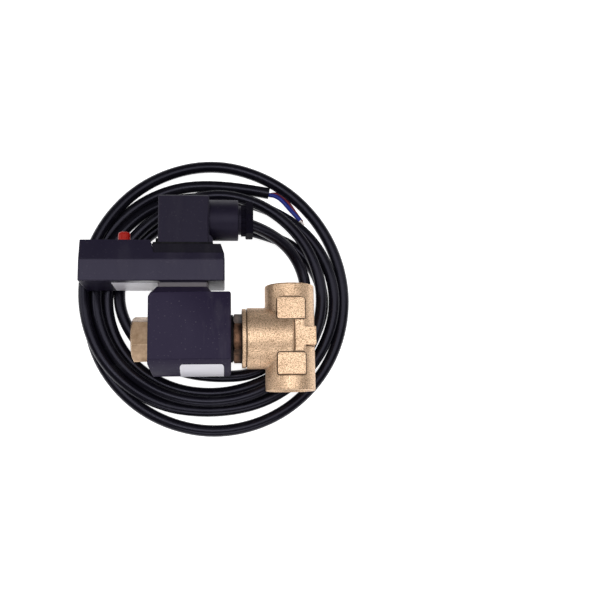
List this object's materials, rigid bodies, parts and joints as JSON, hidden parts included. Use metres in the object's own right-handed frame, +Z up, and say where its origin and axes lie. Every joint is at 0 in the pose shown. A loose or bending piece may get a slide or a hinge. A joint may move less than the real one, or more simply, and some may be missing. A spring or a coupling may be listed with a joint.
{
  "type": "automatic drain valve",
  "caption": "Solenoid drain valve with two G1/2 ports in a brass body, a timer on its coil, a connector plug and a loosely coiled supply cord.",
  "frame": {"origin": "centre of the inlet port's mouth", "axes": "+Y out of the inlet along the ports' axis, +X along the solenoid axis from the coil nut towards the brass body, +Z up from the cord that the valve lies on"},
  "size_m": [0.1612, 0.1664, 0.0488],
  "materials": {
    "cast_brass": "sand-cast, speckled",
    "machined_brass": "turned",
    "steel": "bright",
    "zinc_steel": "zinc plated",
    "copper": "enamelled",
    "coil_moulding": "satin",
    "timer_moulding": "satin",
    "pedestal_moulding": "satin",
    "plug_moulding": "satin",
    "inner_plastic": "matt",
    "bobbin_plastic": "matt",
    "board": "solder mask",
    "board_parts": "matt",
    "red_button": "gloss",
    "dial_plastic": "satin",
    "lamp": "gloss",
    "gasket": "smooth",
    "black_rubber": "smooth",
    "label": "satin",
    "cord_jacket": "satin PVC",
    "brown_core": "PVC",
    "blue_core": "PVC"
  },
  "bodies": {
    "valve": {"valve_body": "cast_brass", "bonnet_seal": "black_rubber", "bonnet_nut": "machined_brass", "armature_tube": "steel", "pole_core": "steel", "shading_ring": "copper", "plunger_spring": "steel", "solenoid_housing": "coil_moulding", "magnet_yoke": "zinc_steel", "coil_bobbin": "bobbin_plastic", "coil_winding": "copper", "coil_blades": "zinc_steel", "coil_washer": "black_rubber", "coil_nut": "machined_brass", "coil_label": "label", "connector_gasket": "gasket", "timer_base": "timer_moulding", "timer_cover": "timer_moulding", "timer_labels": "label", "circuit_board": "board", "circuit_parts": "board_parts", "socket_clips": "zinc_steel", "test_switch": "inner_plastic", "indicator_lamps": "lamp", "plug_pedestal": "pedestal_moulding", "timer_blades": "zinc_steel", "plug_gasket": "black_rubber", "plug_housing": "plug_moulding", "contact_carrier": "inner_plastic", "terminal_screws": "zinc_steel", "clamp_screw": "zinc_steel", "gland_seal": "black_rubber", "gland_washer": "zinc_steel", "gland_nut": "plug_moulding", "cord_lead": "cord_jacket", "cord_coil": "cord_jacket", "core_brown": "brown_core", "core_blue": "blue_core"},
    "plunger": {"plunger": "steel", "plunger_seal": "black_rubber"},
    "test_button": {"test_button": "red_button"},
    "off_dial": {"off_dial": "dial_plastic"},
    "on_dial": {"on_dial": "dial_plastic"}
  },
  "joints": [
    {"name": "plunger_stroke", "type": "slide", "parent": "valve", "child": "plunger", "axis": [-1, 0, 0], "range_m": [0, 0.002], "stiffness_N_per_m": 300, "springref_m": -0.003, "deforming": ["plunger_spring"]},
    {"name": "test_press", "type": "slide", "parent": "valve", "child": "test_button", "axis": [0, -1, 0], "range_m": [0, 0.0012], "stiffness_N_per_m": 800, "springref_m": -0.0008},
    {"name": "off_dial_turn", "type": "hinge", "parent": "valve", "child": "off_dial", "pos_m": [-0.106, 0.0236, -0.0025], "axis": [0, 1, 0], "range_deg": [-135, 135]},
    {"name": "on_dial_turn", "type": "hinge", "parent": "valve", "child": "on_dial", "pos_m": [-0.0855, 0.0236, -0.0025], "axis": [0, 1, 0], "range_deg": [-135, 135]}
  ]
}
